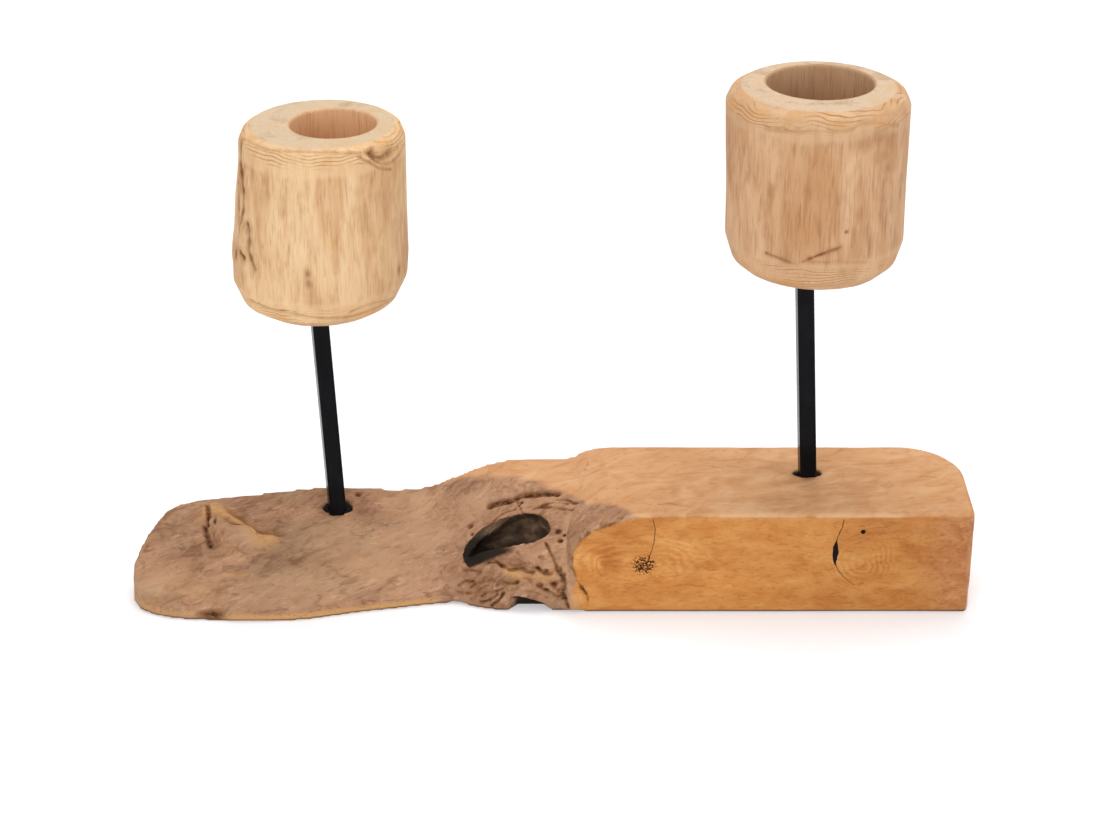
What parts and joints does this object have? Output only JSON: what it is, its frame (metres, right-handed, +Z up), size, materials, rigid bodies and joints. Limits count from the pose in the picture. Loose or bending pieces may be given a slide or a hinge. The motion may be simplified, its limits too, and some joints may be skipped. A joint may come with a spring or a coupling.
{
  "type": "candle stand",
  "caption": "Slab of weathered root wood, sawn square at one end, with a leaning square steel bar at each end that carries a bored wooden cup for a candle.",
  "frame": {"origin": "on the flat underside, midway along the slab and midway between its widest front and its sawn back", "axes": "+X along the slab towards the sawn block, +Y from the front to the sawn back, +Z up"},
  "size_m": [0.4008, 0.1068, 0.2498],
  "materials": {
    "root_wood": "sanded and oiled, weathered grey-brown on the grown side",
    "cup_wood": "peeled and sanded, matt",
    "blackened_steel": "black, satin",
    "black_adhesive": "set filler, rough"
  },
  "bodies": {
    "root": {"root_base": "root_wood", "left_bar": "blackened_steel", "right_bar": "blackened_steel", "left_cup": "cup_wood", "right_cup": "cup_wood", "left_foot_adhesive": "black_adhesive", "right_foot_adhesive": "black_adhesive", "left_cup_adhesive": "black_adhesive", "right_cup_adhesive": "black_adhesive"}
  },
  "joints": []
}
